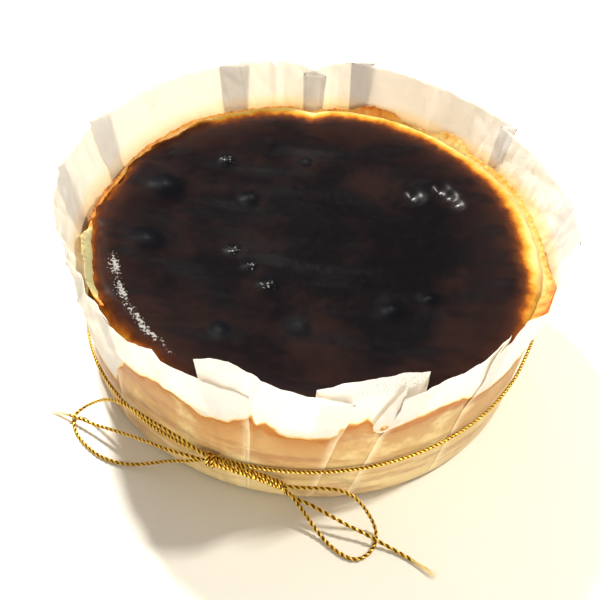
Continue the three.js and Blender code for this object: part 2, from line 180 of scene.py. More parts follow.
def spun(name, lines, twist, fray_length=0, seed=1):
    """A mesh of string along each line, whose plies turn once in the length of a twist.

    Its attribute crown is 0 between the plies and 1 on top of them. Its attribute fray is 1 on the
    loose fibres of a line's last stretch."""
    curve = bpy.data.curves.new(name, "CURVE")
    curve.dimensions = "3D"
    curve.bevel_depth = PLY / 2
    curve.bevel_resolution = 2
    curve.use_fill_caps = True
    loose = round(fray_length / STRING_STEP)
    for line in lines:
        for start in (0, math.pi):
            add_strand(curve, wound(line[:len(line) - loose], (STRING - PLY) / 2, twist, start), 1)
        if loose:
            frayed(curve, line[-loose - 4:], random.Random(seed))
    source = bpy.data.objects.new(name + "_curve", curve)
    bpy.context.scene.collection.objects.link(source)
    bpy.context.view_layer.update()
    mesh = bpy.data.meshes.new_from_object(source.evaluated_get(bpy.context.evaluated_depsgraph_get()))
    bpy.data.objects.remove(source)
    mesh.name = name
    near = KDTree(sum(len(line) for line in lines))
    for i, point in enumerate(point for line in lines for point in line):
        near.insert(point, i)
    near.balance()
    crown = mesh.attributes.new("crown", "FLOAT", "POINT")
    fray = mesh.attributes.new("fray", "FLOAT", "POINT")
    for vertex in mesh.vertices:
        crown.data[vertex.index].value = min(near.find(vertex.co)[2] / (STRING / 2), 1.2)
        from_end = (vertex.co - lines[0][-1]).length
        fray.data[vertex.index].value = smooth_share(fray_length - from_end, -0.001, 0.0005) if loose else 0
    for polygon in mesh.polygons:
        polygon.use_smooth = True
    piece = bpy.data.objects.new(name, mesh)
    bpy.context.scene.collection.objects.link(piece)
    return piece


def tint(red, green, blue):
    """A linear colour from the 0 to 255 of a colour picker."""
    def part(value):
        share = value / 255
        return share / 12.92 if share < 0.04045 else ((share + 0.055) / 1.055) ** 2.4
    return part(red), part(green), part(blue), 1


def new_finish(name):
    """A material with an empty tree, and its output node."""
    material = bpy.data.materials.new(name)
    material.use_nodes = True
    material.node_tree.nodes.clear()
    return material, material.node_tree, material.node_tree.nodes.new("ShaderNodeOutputMaterial")


def add(tree, kind, inputs=None, **settings):
    """A node. An input that is a socket is linked, and any other value is set on it."""
    made = tree.nodes.new("ShaderNode" + kind)
    for name, value in settings.items():
        setattr(made, name, value)
    for name, value in (inputs or {}).items():
        if isinstance(value, bpy.types.NodeSocket):
            tree.links.new(value, made.inputs[name])
        else:
            made.inputs[name].default_value = value
    return made


def calc(tree, operation, *values, **settings):
    """A Math node's result."""
    return add(tree, "Math", dict(enumerate(values)), operation=operation, **settings).outputs[0]


def times(tree, result, *factors):
    """The values multiplied together."""
    for factor in factors:
        result = calc(tree, "MULTIPLY", result, factor)
    return result


def swing(tree, value, size):
    """A value from 0 to 1 as a swing round 0, size from end to end."""
    return times(tree, calc(tree, "SUBTRACT", value, 0.5), size)


def mark(tree, name):
    """The value of one of the mesh's own attributes."""
    return add(tree, "Attribute", attribute_name=name).outputs["Fac"]


def mottle(tree, place, scale, detail, roughness=0.5):
    """An uneven value round 0.5, with so many blotches to a metre."""
    return add(tree, "TexNoise", {"Vector": place, "Scale": scale, "Detail": detail,
                                  "Roughness": roughness}).outputs["Fac"]


def ramp(tree, share, stops):
    """A colour that goes through the stops, each a place and a colour."""
    made = add(tree, "ValToRGB", {"Fac": share})
    elements = made.color_ramp.elements
    elements[0].position, elements[0].color = stops[0]
    elements[1].position, elements[1].color = stops[-1]
    for place, color in stops[1:-1]:
        elements.new(place).color = color
    return made.outputs["Color"]


def spread(tree, value, low, high):
    """A value from low to high as 0 to 1, smoothly."""
    return add(tree, "MapRange", {"Value": value, "From Min": low, "From Max": high},
               interpolation_type="SMOOTHSTEP").outputs["Result"]


def blended(tree, share, below, above, blend_type="MIX"):
    """Two colours mixed."""
    made = tree.nodes.new("ShaderNodeMix")
    made.data_type = "RGBA"
    made.blend_type = blend_type
    for socket, value in ((made.inputs[0], share), (made.inputs[6], below), (made.inputs[7], above)):
        if isinstance(value, bpy.types.NodeSocket):
            tree.links.new(value, socket)
        else:
            socket.default_value = value
    return made.outputs[2]


gold, tree, output = new_finish("gold_cord")
crown = mark(tree, "crown")
fray = mark(tree, "fray")
place = add(tree, "TexCoord").outputs["Object"]
glint = mottle(tree, place, 2600, 2)
worn = mottle(tree, place, 90, 2)
# Painted shade and highlight: the yarn is coloured darker between the plies, and lighter on top of them and
# at the glints.
lit = calc(tree, "ADD", crown, swing(tree, glint, 0.7))
groove_shaded_yarn = ramp(tree, lit, [(0.4, tint(44, 26, 8)), (0.62, tint(110, 70, 16)), (0.8, tint(190, 134, 30)),
                        (1, tint(252, 218, 102))])
color = blended(tree, fray, groove_shaded_yarn, tint(250, 226, 150))
foil = times(tree, calc(tree, "SUBTRACT", 1, fray), 0.9)
ridges = add(tree, "Bump", {"Height": glint, "Strength": 0.5, "Distance": 0.0001}).outputs["Normal"]
rough = calc(tree, "ADD", times(tree, worn, 0.2), 0.26)
shader = add(tree, "BsdfPrincipled", {"Base Color": color, "Metallic": foil, "Roughness": rough,
                                      "Normal": ridges})
tree.links.new(shader.outputs[0], output.inputs["Surface"])


def finished(piece, material, slot, *nodes):
    """A piece with its material, riding on the cake and standing for its solids."""
    piece.data.materials.append(material)
    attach(piece, "root")
    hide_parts(*nodes)


# name, route, length of one twist, length of the frayed end, and the whole length from end to end
BOW = [("bow_loop_left", LEFT_LOOP, 0.0028, 0, 0.094),
       ("tail_left", LEFT_TAIL, 0.003, FRAY_LENGTH, 0.051),
       ("bow_loop_right", RIGHT_LOOP, 0.003, 0, 0.064),
       ("tail_right", RIGHT_TAIL, 0.0037, FRAY_LENGTH, 0.042)]
for seed, (name, points, twist, fray_length, length) in enumerate(BOW):
    route = route_line([Vector(point) + AXIS for point in points])
    stretch = spun(name, [route], twist, fray_length, seed)
    finished(stretch, gold, "gold_cord", "gold_string")


# ---- Band and knot
# The same string, once round the side over the pleats and a little higher at the right. At the
# front its four strands are twisted into a bundle, which a few turns of string tie off.
CAKE_RADIUS = 0.0604
FOOT_RADIUS = 0.0596
FOOT_SHIFT = -0.0008
CORNER_RADIUS = 0.002
CAKE_BOTTOM = 0.0008
SHOULDER_RADIUS = 0.0055
CREST_HEIGHT = 0.0345
CLING_HEIGHT = 0.026
PAPER_OUT = 0.0007  # from the cake's side to the middle of the sheet
SIDE_SWELLS = [(130, 9, 0.0011), (163, 7, -0.0011), (195, 8, -0.0009), (25, 10, 0.0008), (350, 7, 0.0009),
               (94.5, 4.5, -0.0026)]  # azimuth, width, how far out
BAND_OUT = 0.0011  # from the middle of the innermost sheet to the string's middle
BAND_HEIGHT = 0.0137
BAND_TILT = 0.0045
BAND_HIGHEST = 352  # azimuth
BAND_STEP = 6  # degrees
BAND_TWIST = 0.0023
BUNDLE = [(-0.0208, -0.0598, 0.0132), (-0.013, -0.0619, 0.013), (-0.0072, -0.0628, 0.0119),
          (-0.0022, -0.0632, 0.0098)]
BUNDLE_STRANDS = 4
BUNDLE_RADIUS = 0.00072
BUNDLE_PITCH = 0.013
TIE_RADIUS = 0.0014
TIE_PITCH = 0.0013
TIE_TURNS = 2.2
TIE_START = -0.2  # share of the tie that lies before the bundle's first point
TIE_STEPS = 120


def angle_between(first, second):
    """Signed difference of two azimuths, from -180 to 180 degrees."""
    return (second - first + 180) % 360 - 180


def nearby(azimuth, middle, width):
    """1 at the middle azimuth and less to both sides of it, as a bell of a width in degrees."""
    return math.exp(-(angle_between(middle, azimuth) / width) ** 2)


def arc_reach(radius, height):
    """How far a circle reaches sideways at a height above its middle."""
    return math.sqrt(max(radius * radius - height * height, 0))


def plain_side(z):
    """Radius of the cake's side at a height."""
    corner_top = CAKE_BOTTOM + CORNER_RADIUS
    shoulder = CREST_HEIGHT - SHOULDER_RADIUS
    if z < corner_top:
        return FOOT_RADIUS - CORNER_RADIUS + arc_reach(CORNER_RADIUS, corner_top - z)
    if z > shoulder:
        return CAKE_RADIUS - SHOULDER_RADIUS + arc_reach(SHOULDER_RADIUS, z - shoulder)
    return FOOT_RADIUS + (CAKE_RADIUS - FOOT_RADIUS) * (z - corner_top) / (shoulder - corner_top)


def swell(azimuth, z):
    """How far the side stands out at an azimuth: in full near the top, not at all at the foot."""
    sizes = (size * nearby(azimuth, middle, width) for middle, width, size in SIDE_SWELLS)
    return sum(sizes) * smooth_share(z, 0, CLING_HEIGHT)


def foot_shift(z):
    """How far the cake's middle at a height lies along X from its axis."""
    return FOOT_SHIFT * (1 - smooth_share(z, 0, CREST_HEIGHT))


def round_place(azimuth, radius, z):
    """A point at an azimuth, radius and height, on the cake's slightly leaning axis."""
    angle = math.radians(azimuth)
    return AXIS + Vector((radius * math.cos(angle) + foot_shift(z), radius * math.sin(angle), z))


def band_place(azimuth):
    """The middle of the string at an azimuth, outside the pleats."""
    z = BAND_HEIGHT + BAND_TILT * math.cos(math.radians(azimuth - BAND_HIGHEST))
    return round_place(azimuth, plain_side(z) + PAPER_OUT + swell(azimuth, z) + BAND_OUT, z)


band_line = route_line([band_place(azimuth) for azimuth in range(-110, 251, BAND_STEP)])
bundle_line = route_line([Vector(p) + AXIS for p in BUNDLE])
strands = [wound(bundle_line, BUNDLE_RADIUS, BUNDLE_PITCH, 2 * math.pi * i / BUNDLE_STRANDS)
           for i in range(BUNDLE_STRANDS)]
tie_way = (bundle_line[4] - bundle_line[0]).normalized()
tie_core = [bundle_line[0] + tie_way * TIE_PITCH * TIE_TURNS * (i / TIE_STEPS + TIE_START)
            for i in range(TIE_STEPS + 1)]
tie = wound(tie_core, TIE_RADIUS, TIE_PITCH, 0)
string_band = spun("string_band_and_knot", [band_line, *strands, tie], BAND_TWIST)
finished(string_band, gold, "gold_cord", "gold_string")


# ---- Cake
# Cream cheese batter baked hard in a 12 cm tin: pale and dense inside, with a thin crust burnt
# nearly black on top, amber where it thins out at the edge. The middle sank as it cooled.
DISH_DEPTH = 0.0028
DISH_SQUARENESS = 6
DISH_WAVE = 0.00022
SLANT_WAVE = 0.00012
CREST_RADIUS = CAKE_RADIUS - SHOULDER_RADIUS
SQUARENESS = [(0, 5), (110, 5), (135, 3.4), (172, 3.2), (186, 4.5), (206, 4.5), (216, 2.3), (322, 2.3),
              (340, 4), (360, 5)]  # 2 is a round shoulder; where batter crept up the paper it is squarer
SPIN_STEPS = 380
BOTTOM_RINGS = 6
CORNER_STEPS = 4
SIDE_STEPS = 20
SHOULDER_STEPS = 14
TOP_RINGS = 110
SCORCHED_DOMES = [  # x, y, radius, height
    (-0.043, 0.0155, 0.0072, 0.0012), (-0.0443, -0.0065, 0.0066, 0.0009), (-0.0196, 0.016, 0.0042, 0.0006),
    (-0.0274, 0.0305, 0.0034, 0.0005), (-0.0219, -0.0057, 0.003, 0.0004), (-0.0166, -0.0111, 0.0028, 0.0004),
    (-0.0115, -0.0175, 0.0036, 0.0005), (0.0208, -0.0226, 0.0044, 0.0007), (0.0305, -0.0172, 0.003, 0.0006),
    (-0.0028, -0.0314, 0.0046, 0.0003), (-0.0214, -0.0352, 0.0036, 0.0003), (-0.0052, 0.0344, 0.003, 0.0003)]
GLINTING_DOMES = SCORCHED_DOMES[3:7]
OPEN_PITS = [(0.0262, 0.0236, 0.003, -0.0015), (0.034, 0.027, 0.0026, -0.0016),
             (0.0362, 0.0242, 0.0024, -0.0014), (0.0384, 0.0208, 0.002, -0.0009)]
SLOW_WAVES = [(0.004, -0.005, 0.012, -0.0005), (0, 0.034, 0.011, 0.0004), (-0.008, -0.034, 0.009, -0.0003)]
BLISTERS = 46
CRUST_EDGE = [(0, 0.0056), (12, 0.0052), (29, 0.0046), (45, 0.0044), (72, 0.0042), (86, 0.0044), (96, 0.0062),
              (106, 0.0044), (123, 0.004), (140, 0.0024), (150, 0.0013), (175, 0.0009), (186, 0.0009),
              (203, 0.0006), (214, 0.0006), (224, 0.0014), (232, 0.0017), (241, 0.0004), (250, -0.0004),
              (310, -0.0003), (330, 0.001), (342, 0.0032), (351, 0.0044), (360, 0.0056)]
# azimuth, and how far in from the side the dark crust starts
CRAGS = 0.0005  # relief where the crust starts
CRAGGY_WIDTH = 0.003
LUMPS = 0.0008  # relief of the shoulder, more of it on the two sides named next
LUMPY_SIDE = 160
BULGING_SIDE = 155
GRAIN = 0.00012
PAINTED_GLINT_ARC = (190, 245)  # azimuths of a streak of painted highlight, pale specks along the inside of the rim
PAINTED_GLINT_RADII = (0.0539, 0.0554)  # its radius and its half width at each end
PAINTED_GLINT_WIDTHS = (0.0015, 0.0007)
DOME_PAINTED_GLINT = 0.52
MILLIMETRES = 1000  # an attribute that holds a distance is in millimetres

draw = random.Random(4)
blisters = []
for _ in range(BLISTERS):
    angle = draw.uniform(0, 2 * math.pi)
    away = CREST_RADIUS * math.sqrt(draw.random())
    size = draw.uniform(0.0009, 0.0024)
    blisters.append((away * math.cos(angle), away * math.sin(angle), size, size * draw.uniform(-0.05, 0.09)))


def nearness(marks, x, y):
    """The marks' heights added up at a place, and how deep inside one of them it lies, from 0 to 1."""
    height = inside = 0
    for mark_x, mark_y, radius, size in marks:
        share = math.exp(-2 * ((x - mark_x) ** 2 + (y - mark_y) ** 2) / (radius * radius))
        height += size * share
        inside = max(inside, share)
    return height, inside


def crust_relief(x, y):
    """Height of the top above its crest: the dish, slow waves, blisters and sunken spots."""
    away = math.hypot(x, y)
    inside = (1 - min(away / CREST_RADIUS, 1) ** DISH_SQUARENESS) ** 2
    broad = math.sin(x / 0.009 + 1) * math.cos(y / 0.011)
    z = inside * (DISH_WAVE * broad + SLANT_WAVE * math.sin((x + y) / 0.006) - DISH_DEPTH)
    return z + nearness(SCORCHED_DOMES + OPEN_PITS + SLOW_WAVES + blisters, x, y)[0]


def along(table, azimuth):
    """The value at an azimuth of a table of azimuths and values, eased between its rows."""
    at = azimuth if azimuth < 0 and table[0][0] < 0 else azimuth % 360
    for (start, low), (end, high) in zip(table, table[1:]):
        if at <= end:
            return low + (high - low) * smooth_share(at, start, end)


def painted_glint_share(x, y):
    """1 where pale specks are painted as highlight glints: along a streak inside the rim, and fewer on some
    domes.
    """
    azimuth = math.degrees(math.atan2(y, x)) % 360
    start, end = PAINTED_GLINT_ARC
    share = smooth_share(azimuth, start, end)
    radius, width = (low + (high - low) * share for low, high in (PAINTED_GLINT_RADII, PAINTED_GLINT_WIDTHS))
    streak = math.exp(-((math.hypot(x, y) - radius) / width) ** 2)
    streak *= smooth_share(azimuth, start, start + 12) * (1 - smooth_share(azimuth, end - 16, end))
    streak *= 0.85 + 0.8 * noise.noise(Vector((x, y, 0)) * 240)
    return max(streak, DOME_PAINTED_GLINT * nearness(GLINTING_DOMES, x, y)[1])


def squared(azimuth, z):
    """Radius and height of a point of the round shoulder once it is as square as it is there."""
    power = 2 / along(SQUARENESS, azimuth)
    lean = math.asin(min((z - shoulder_z) / SHOULDER_RADIUS, 1))
    return (CREST_RADIUS + SHOULDER_RADIUS * math.cos(lean) ** power,
            shoulder_z + SHOULDER_RADIUS * math.sin(lean) ** power)


def shoulder_lumps(x, y, z, azimuth):
    """How much the shoulder bulges at a place, round 0."""
    lumps = noise.noise(Vector((x, y, z)) * 170) * smooth_share(z, shoulder_z - 0.003, shoulder_z + 0.002)
    lumps *= 2.2 - 1.2 * smooth_share(abs(angle_between(LUMPY_SIDE, azimuth)), 18, 40)
    bulges = noise.noise(Vector((x, y, 0.02)) * 100)
    bulges *= 1 - smooth_share(abs(angle_between(BULGING_SIDE, azimuth)), 22, 38)
    return lumps + 2.2 * bulges * smooth_share(z, shoulder_z - 0.004, shoulder_z + 0.003)


def thicken(piece, thickness):
    """Gives a piece made as one sheet its thickness, half to each side."""
    wall = piece.modifiers.new("thickness", "SOLIDIFY")
    wall.thickness = thickness
    wall.offset = 0


def piece_from(name, bm, smooth=True):
    """A piece with a bmesh's shape, in the scene."""
    for face in bm.faces:
        face.smooth = smooth
    mesh = bpy.data.meshes.new(name)
    bm.to_mesh(mesh)
    bm.free()
    piece = bpy.data.objects.new(name, mesh)
    bpy.context.scene.collection.objects.link(piece)
    return piece


cake_bm = bmesh.new()
shoulder_z = CREST_HEIGHT - SHOULDER_RADIUS
heights = [CAKE_BOTTOM + CORNER_RADIUS * (1 - math.cos(math.radians(90 * i / CORNER_STEPS)))
           for i in range(CORNER_STEPS + 1)]
heights += [heights[-1] + (shoulder_z - heights[-1]) * (i + 1) / SIDE_STEPS for i in range(SIDE_STEPS)]
heights += [shoulder_z + SHOULDER_RADIUS * math.sin(math.radians(90 * (i + 1) / SHOULDER_STEPS))
            for i in range(SHOULDER_STEPS)]
outline = [(FOOT_RADIUS * i / BOTTOM_RINGS, CAKE_BOTTOM) for i in range(BOTTOM_RINGS)]
outline += [(plain_side(z), z) for z in heights]
outline += [(CREST_RADIUS * (1 - (i + 1) / TOP_RINGS), CREST_HEIGHT) for i in range(TOP_RINGS)]
ring = [cake_bm.verts.new((radius, 0, z)) for radius, z in outline]
for low, high in zip(ring, ring[1:]):
    cake_bm.edges.new((low, high))
bmesh.ops.spin(cake_bm, geom=cake_bm.verts[:] + cake_bm.edges[:], cent=(0, 0, 0), axis=(0, 0, 1),
               angle=2 * math.pi, steps=SPIN_STEPS, use_merge=True)
bmesh.ops.remove_doubles(cake_bm, verts=cake_bm.verts[:], dist=1e-6)
bmesh.ops.recalc_face_normals(cake_bm, faces=cake_bm.faces[:])
bake = cake_bm.verts.layers.float.new("bake")
scorch = cake_bm.verts.layers.float.new("scorch")
glaze = cake_bm.verts.layers.float.new("glaze")
wet_spot = cake_bm.verts.layers.float.new("wet")
for vertex in cake_bm.verts:
    x, y, z = vertex.co
    away = math.hypot(x, y)
    azimuth = math.degrees(math.atan2(y, x))
    on_top = z > CREST_HEIGHT - 1e-5
    edge = along(CRUST_EDGE, azimuth)
    if z > shoulder_z and not on_top:
        away, z = squared(azimuth, z)
        vertex.co = (away * math.cos(math.radians(azimuth)), away * math.sin(math.radians(azimuth)), z)
        x, y, z = vertex.co
    inward = CAKE_RADIUS - away if z > shoulder_z else z - shoulder_z
    vertex[bake] = MILLIMETRES * (inward - edge)
    if z > shoulder_z:
        vertex[scorch] = nearness(SCORCHED_DOMES, x, y)[1]
        vertex[glaze] = painted_glint_share(x, y)
        vertex[wet_spot] = nearness(OPEN_PITS, x, y)[1]
    rough_edge = math.exp(-((inward - edge) / CRAGGY_WIDTH) ** 2)
    grain = noise.fractal(Vector((x, y, z)) * 420, 0.8, 2.2, 3)
    reach = swell(azimuth, z) + CRAGS * rough_edge * grain + LUMPS * shoulder_lumps(x, y, z, azimuth)
    reach *= (away / CAKE_RADIUS) ** 4
    lift = crust_relief(x, y) * max((z - shoulder_z) / SHOULDER_RADIUS, 0) ** 2
    lift += (GRAIN * grain * (0.35 + 1.6 * rough_edge)) if z > shoulder_z else 0
    outward = Vector((x, y, 0)).normalized() if away > 1e-6 else Vector((0, 0, 0))
    vertex.co = AXIS + vertex.co + outward * reach + Vector((foot_shift(z), 0, lift))
cheesecake = piece_from("cheesecake", cake_bm)

crust, tree, output = new_finish("baked_crust")
place = add(tree, "TexCoord").outputs["Object"]
bake_at = mark(tree, "bake")
scorch_at = mark(tree, "scorch")
painted_glint_at = mark(tree, "glaze")
wet_at = mark(tree, "wet")
patchy = mottle(tree, place, 230, 5, 0.65)
baked = calc(tree, "ADD", bake_at, swing(tree, patchy, 3.4))
browning = calc(tree, "DIVIDE", calc(tree, "ADD", baked, 6), 24)  # from 6 mm before the edge to 18 behind
skin = ramp(tree, browning, [
    (0, tint(214, 196, 150)), (0.1, tint(196, 172, 116)), (0.15, tint(186, 154, 82)),
    (0.19, tint(176, 130, 46)), (0.225, tint(154, 92, 30)), (0.26, tint(106, 55, 23)),
    (0.3, tint(66, 36, 21)), (0.36, tint(47, 27, 22)), (0.46, tint(34, 22, 19)), (0.6, tint(26, 17, 17)),
    (0.85, tint(17, 13, 14)), (1, tint(13, 11, 13))])
streak_place = add(tree, "Mapping", {"Vector": place, "Scale": (34, 120, 60),
                                     "Rotation": (0, 0, -0.12)}).outputs[0]
cloudy = mottle(tree, streak_place, 1, 5, 0.6)
broad = mottle(tree, place, 48, 4, 0.6)
deep = spread(tree, baked, 1, 5)
brown = times(tree, spread(tree, broad, 0.42, 0.68), deep, 0.6)
skin = blended(tree, brown, skin, tint(38, 24, 21))
burnt = times(tree, spread(tree, cloudy, 0.46, 0.62), deep, 0.75)
skin = blended(tree, burnt, skin, tint(12, 10, 12))
soot = spread(tree, calc(tree, "ADD", scorch_at, times(tree, broad, 0.3)), 0.3, 0.75)
skin = blended(tree, times(tree, soot, 0.85), skin, tint(7, 8, 12))
fine = mottle(tree, place, 1300, 3, 0.6)
skinned = mottle(tree, streak_place, 4, 4, 0.6)
height = calc(tree, "ADD", times(tree, fine, 0.3), skinned)
relief = add(tree, "Bump", {"Height": height, "Strength": 0.25, "Distance": 0.00014}).outputs["Normal"]
# Painted highlight: pale grey specks where the mask of painted glints is high.
glint_speck = mottle(tree, place, 1500, 3, 0.6)
glint_specked = times(tree, calc(tree, "SUBTRACT", painted_glint_at, 0.8), 0.3)
painted_glints = spread(tree, calc(tree, "ADD", glint_speck, glint_specked), 0.46, 0.54)
painted_glints = times(tree, painted_glints, spread(tree, painted_glint_at, 0.08, 0.3))
skin = blended(tree, times(tree, painted_glints, 0.9), skin, tint(146, 143, 140))
oiled = calc(tree, "ADD", times(tree, spread(tree, cloudy, 0.45, 0.75), 0.016), 0.004)
oiled = calc(tree, "ADD", oiled, times(tree, wet_at, 0.7))
oiled = calc(tree, "ADD", oiled, times(tree, scorch_at, 0.03))
shader = add(tree, "BsdfPrincipled", {"Base Color": skin, "Roughness": 0.7, "Normal": relief,
                                      "Specular IOR Level": 0, "Coat Weight": oiled,
                                      "Coat Roughness": 0.32, "Coat Normal": relief})
tree.links.new(shader.outputs[0], output.inputs["Surface"])
finished(cheesecake, crust, "baked_crust", "cake")

# A film of batter crept up the paper round the edge and dried: pale yellow where it stayed soft, brown
# where it burnt, and ragged at its top.
FILM_HEIGHT = [(-36, -0.0008), (-28, 0.001), (-16, 0.0011), (-4, 0.0003), (22, 0.0002), (32, 0.0008),
               (38, 0.0004), (44, -0.0002), (49, 0.0014), (54, 0.0016), (58, -0.0006), (67, -0.0006),
               (71, 0.0012), (79, 0.0013), (84, -0.0006), (135, -0.0008), (184, -0.0008), (189, 0.0007),
               (198, 0.001), (205, 0.0006), (212, -0.0008)]  # azimuth, and how far above the crest
FILM_LEAN = [(-36, 0.0014), (-26, 0.0028), (-12, 0.0032), (-2, 0.0016), (20, 0.0012), (44, 0.0012),
             (51, 0.0026), (60, 0.0012), (75, 0.0024), (84, 0.0008), (184, 0.0008), (190, 0.0026),
             (205, 0.0022), (212, 0.0008)]  # azimuth, and how far out from its root
FILM_BROWNING = [(-36, 0.65), (-26, 0.58), (-14, 0.5), (-4, 0.32), (26, 0.3), (34, 0.4), (40, 0.34),
                 (46, 0.26), (56, 0.26), (66, 0.28), (71, 0.4), (76, 0.52), (82, 0.4), (88, 0.38),
                 (150, 0.44), (180, 0.6), (188, 0), (205, -0.2), (212, 0.6)]
FILM_STEP = 0.25  # degrees
FILM_ROWS = 9
FILM_ROOT = 0.0014  # how far down it starts, inside the cake
FILM_INSET = 0.0008  # and how far in from the cake's side
FILM_WAVE = 0.0003
FILM_RIPPLE = 0.0005
FILM_THICKNESS = 0.00035
film_bm = bmesh.new()
film_bm.loops.layers.uv.new("film")
columns = round((FILM_HEIGHT[-1][0] - FILM_HEIGHT[0][0]) / FILM_STEP)
bmesh.ops.create_grid(film_bm, x_segments=columns, y_segments=FILM_ROWS, size=0.5, calc_uvs=True)
film_browning = film_bm.verts.layers.float.new("browning")
for vertex in film_bm.verts:
    azimuth = FILM_HEIGHT[0][0] + (vertex.co.x + 0.5) * columns * FILM_STEP
    share = vertex.co.y + 0.5
    ragged = 1 + 0.6 * noise.noise(Vector((azimuth * 0.45, 0, 3)))
    ragged += 0.15 * noise.noise(Vector((azimuth * 1.9, 0, 0)))
    rise = (FILM_ROOT + along(FILM_HEIGHT, azimuth) * ragged) * share
    z = CREST_HEIGHT - FILM_ROOT + rise
    away = CAKE_RADIUS - FILM_INSET + along(FILM_LEAN, azimuth) * share
    away += FILM_WAVE * noise.noise(Vector((azimuth * 0.5, share * 1.5, 9)))
    z += FILM_RIPPLE * noise.noise(Vector((azimuth * 1.1, share * 3, 4))) * share
    vertex.co = round_place(azimuth, away + swell(azimuth, z), z)
    vertex[film_browning] = along(FILM_BROWNING, azimuth) + 0.25 * (share - 0.7)
bmesh.ops.recalc_face_normals(film_bm, faces=film_bm.faces[:])
batter_film = piece_from("batter_film", film_bm)
thicken(batter_film, FILM_THICKNESS)

film, tree, output = new_finish("dried_batter")
place = add(tree, "TexCoord").outputs["Object"]
film_at = mark(tree, "browning")
spotty = mottle(tree, place, 420, 4, 0.6)
toasted = calc(tree, "ADD", film_at, swing(tree, spotty, 0.7))
color = ramp(tree, toasted, [(0, tint(200, 192, 148)), (0.2, tint(250, 232, 160)), (0.4, tint(252, 206, 100)),
                             (0.6, tint(228, 146, 48)), (0.8, tint(132, 68, 23)), (1, tint(52, 26, 15))])
lumpy = add(tree, "Bump", {"Height": spotty, "Strength": 0.4, "Distance": 0.0002}).outputs["Normal"]
front = add(tree, "BsdfPrincipled", {"Base Color": color, "Roughness": 0.5, "Normal": lumpy})
back = add(tree, "BsdfTranslucent", {"Color": color})
film_shader = add(tree, "MixShader", {0: 0.6, 1: front.outputs[0], 2: back.outputs[0]})
tree.links.new(film_shader.outputs[0], output.inputs["Surface"])
finished(batter_film, film, "baked_crust", "cake")


# ---- Parchment case
# One square of baking parchment, pressed into the tin and pleated where it had to give. Above the
# cake it stays white and free; below, the cake's fat has soaked it and it clings to the side.
LAYER_STEP = 0.00035
WET_LAYER_STEP = 0.00016
SHEET_THICKNESS = 0.0001
COLUMN = 1.1  # degrees between columns of the mesh
FLARE_EASE = 1.4  # power of the share by which the collar leans out, or a tab in
LOOSE_SIDE = (210, 12, 0.0022)  # where the sheet stands off the cake: azimuth, width, how far
LOOSE_CRINKLES = (24, 1.6)  # round there the crinkles are stronger: width, how much more
CREASES = 0.00014  # relief of the clinging side
RIPPLES = 0.00008
FLUTES = 0.0007  # relief of the free collar
FOLD_LINES = 0.0003
SLANT_LINES = 0.00034
FINE_LINES = 0.00017
PLEATS_START = 0.001  # below this height a pleat is pressed flat
PLEATS_STAND = 0.008  # and from here up its layers stand apart
COLLAR_BELLY = 0.0006
FLOOR_RADIUS = 0.0576
FLOOR_LAP = 0.0012
FLOOR_Z = 0.0002
SIDE_ROWS = 21
COLLAR_ROWS = 20
CORNER_ROWS = 4
